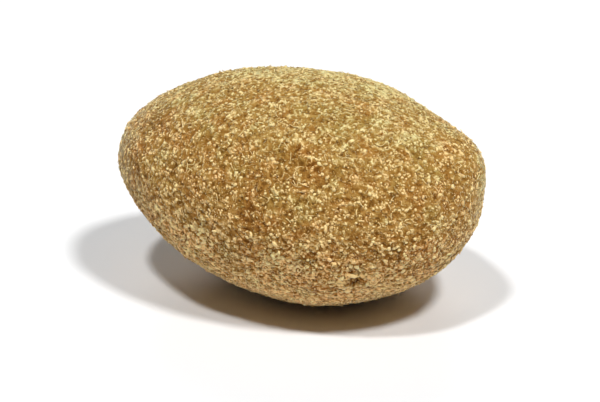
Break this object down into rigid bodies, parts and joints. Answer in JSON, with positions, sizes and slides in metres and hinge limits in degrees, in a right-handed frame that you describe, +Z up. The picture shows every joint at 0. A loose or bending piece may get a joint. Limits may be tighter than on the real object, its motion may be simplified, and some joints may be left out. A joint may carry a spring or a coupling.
{
  "type": "licorice dusted chocolate almond",
  "caption": "Fat oval sweet, an almond under thick chocolate and a matte tan licorice powder coat, with a round end and a softly pointed end, lying on a small flat.",
  "frame": {"origin": "centre of the bounding box in plan, at the height of the small resting flat", "axes": "+X along the almond from its round end to its pointed end, +Z up, the shape as it lies on a table"},
  "size_m": [0.028, 0.019, 0.0165],
  "materials": {
    "licorice_powder": "matte"
  },
  "bodies": {
    "root": {"coated_almond": "licorice_powder"}
  },
  "joints": []
}
